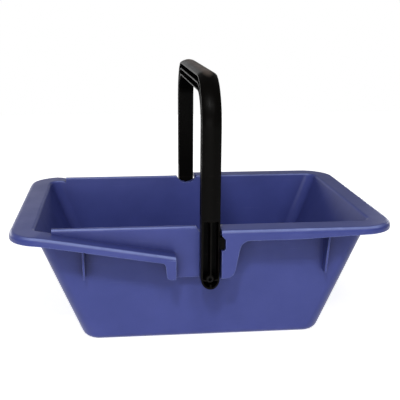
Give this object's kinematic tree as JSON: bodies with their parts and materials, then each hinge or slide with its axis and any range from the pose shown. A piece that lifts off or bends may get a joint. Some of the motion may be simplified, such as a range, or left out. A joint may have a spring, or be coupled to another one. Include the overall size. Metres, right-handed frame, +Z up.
{
  "type": "utility basket",
  "caption": "Tapered blue plastic carrying tub with a black swing handle that folds down onto ramps in the rim.",
  "frame": {"origin": "on the ground under the middle of the rim", "axes": "+X along the tub's length, away from the end the handle folds to; +Y across it, towards the back; +Z up"},
  "size_m": [0.48, 0.34, 0.339],
  "materials": {
    "tub_blue": "satin moulded polypropylene",
    "handle_black": "satin moulded plastic",
    "pin_black": "satin moulded plastic"
  },
  "bodies": {
    "tub": {"tub": "tub_blue"},
    "pins": {"front_pivot_pin": "pin_black", "rear_pivot_pin": "pin_black"},
    "handle": {"handle": "handle_black"}
  },
  "joints": [
    {"name": "pin_lift", "type": "slide", "parent": "tub", "child": "pins", "axis": [0, 0, 1], "range_m": [0, 0.0355]},
    {"name": "handle_swing", "type": "hinge", "parent": "pins", "child": "handle", "pos_m": [0.004, 0, 0.092], "axis": [0, -1, 0], "range_deg": [0, 80]}
  ],
  "couplings": [
    {"joint": "pin_lift", "follows": "handle_swing", "m_per_rad": 0.02542}
  ]
}
